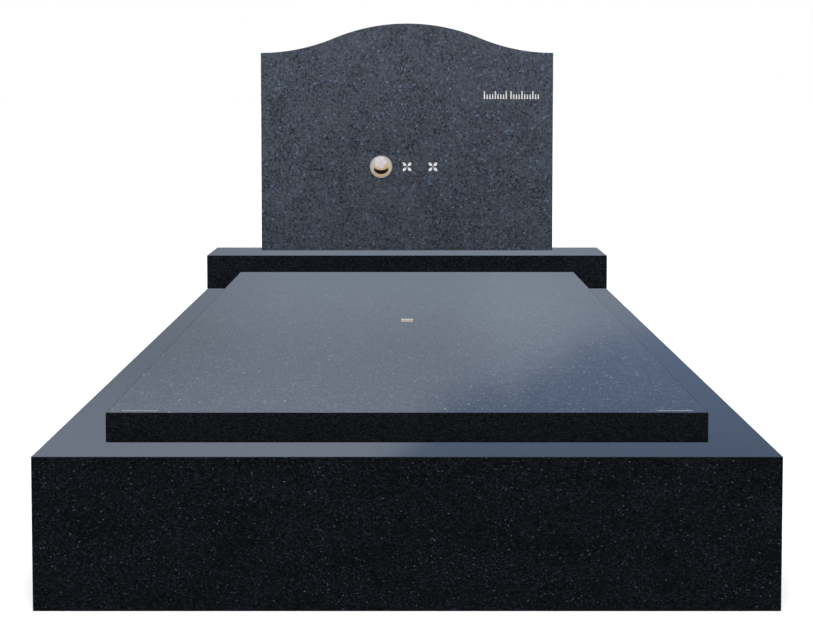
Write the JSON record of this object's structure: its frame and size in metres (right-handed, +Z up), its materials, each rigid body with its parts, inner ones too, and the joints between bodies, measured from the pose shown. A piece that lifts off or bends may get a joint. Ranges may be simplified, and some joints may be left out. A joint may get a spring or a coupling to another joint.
{
  "type": "upright headstone memorial with ledger and kerb",
  "caption": "Granite grave memorial: serpentine-topped headstone on a base, with a flat ledger slab lying on a high kerb.",
  "frame": {"origin": "on the ground, in the middle of the kerb's footprint", "axes": "+Z up, +Y from the front kerb to the headstone, so the headstone's face looks along -Y"},
  "size_m": [1.2, 2.4, 1.0506],
  "materials": {
    "black_granite": "polished",
    "blue_grey_granite": "polished",
    "glazed_ceramic": "glazed"
  },
  "bodies": {
    "root": {"kerb_front": "black_granite", "kerb_rear": "black_granite", "kerb_left": "black_granite", "kerb_right": "black_granite", "ledger_slab": "black_granite", "headstone_base": "black_granite", "headstone": "blue_grey_granite", "ceramic_medallion": "glazed_ceramic", "ledger_plaque": "glazed_ceramic"}
  },
  "joints": []
}
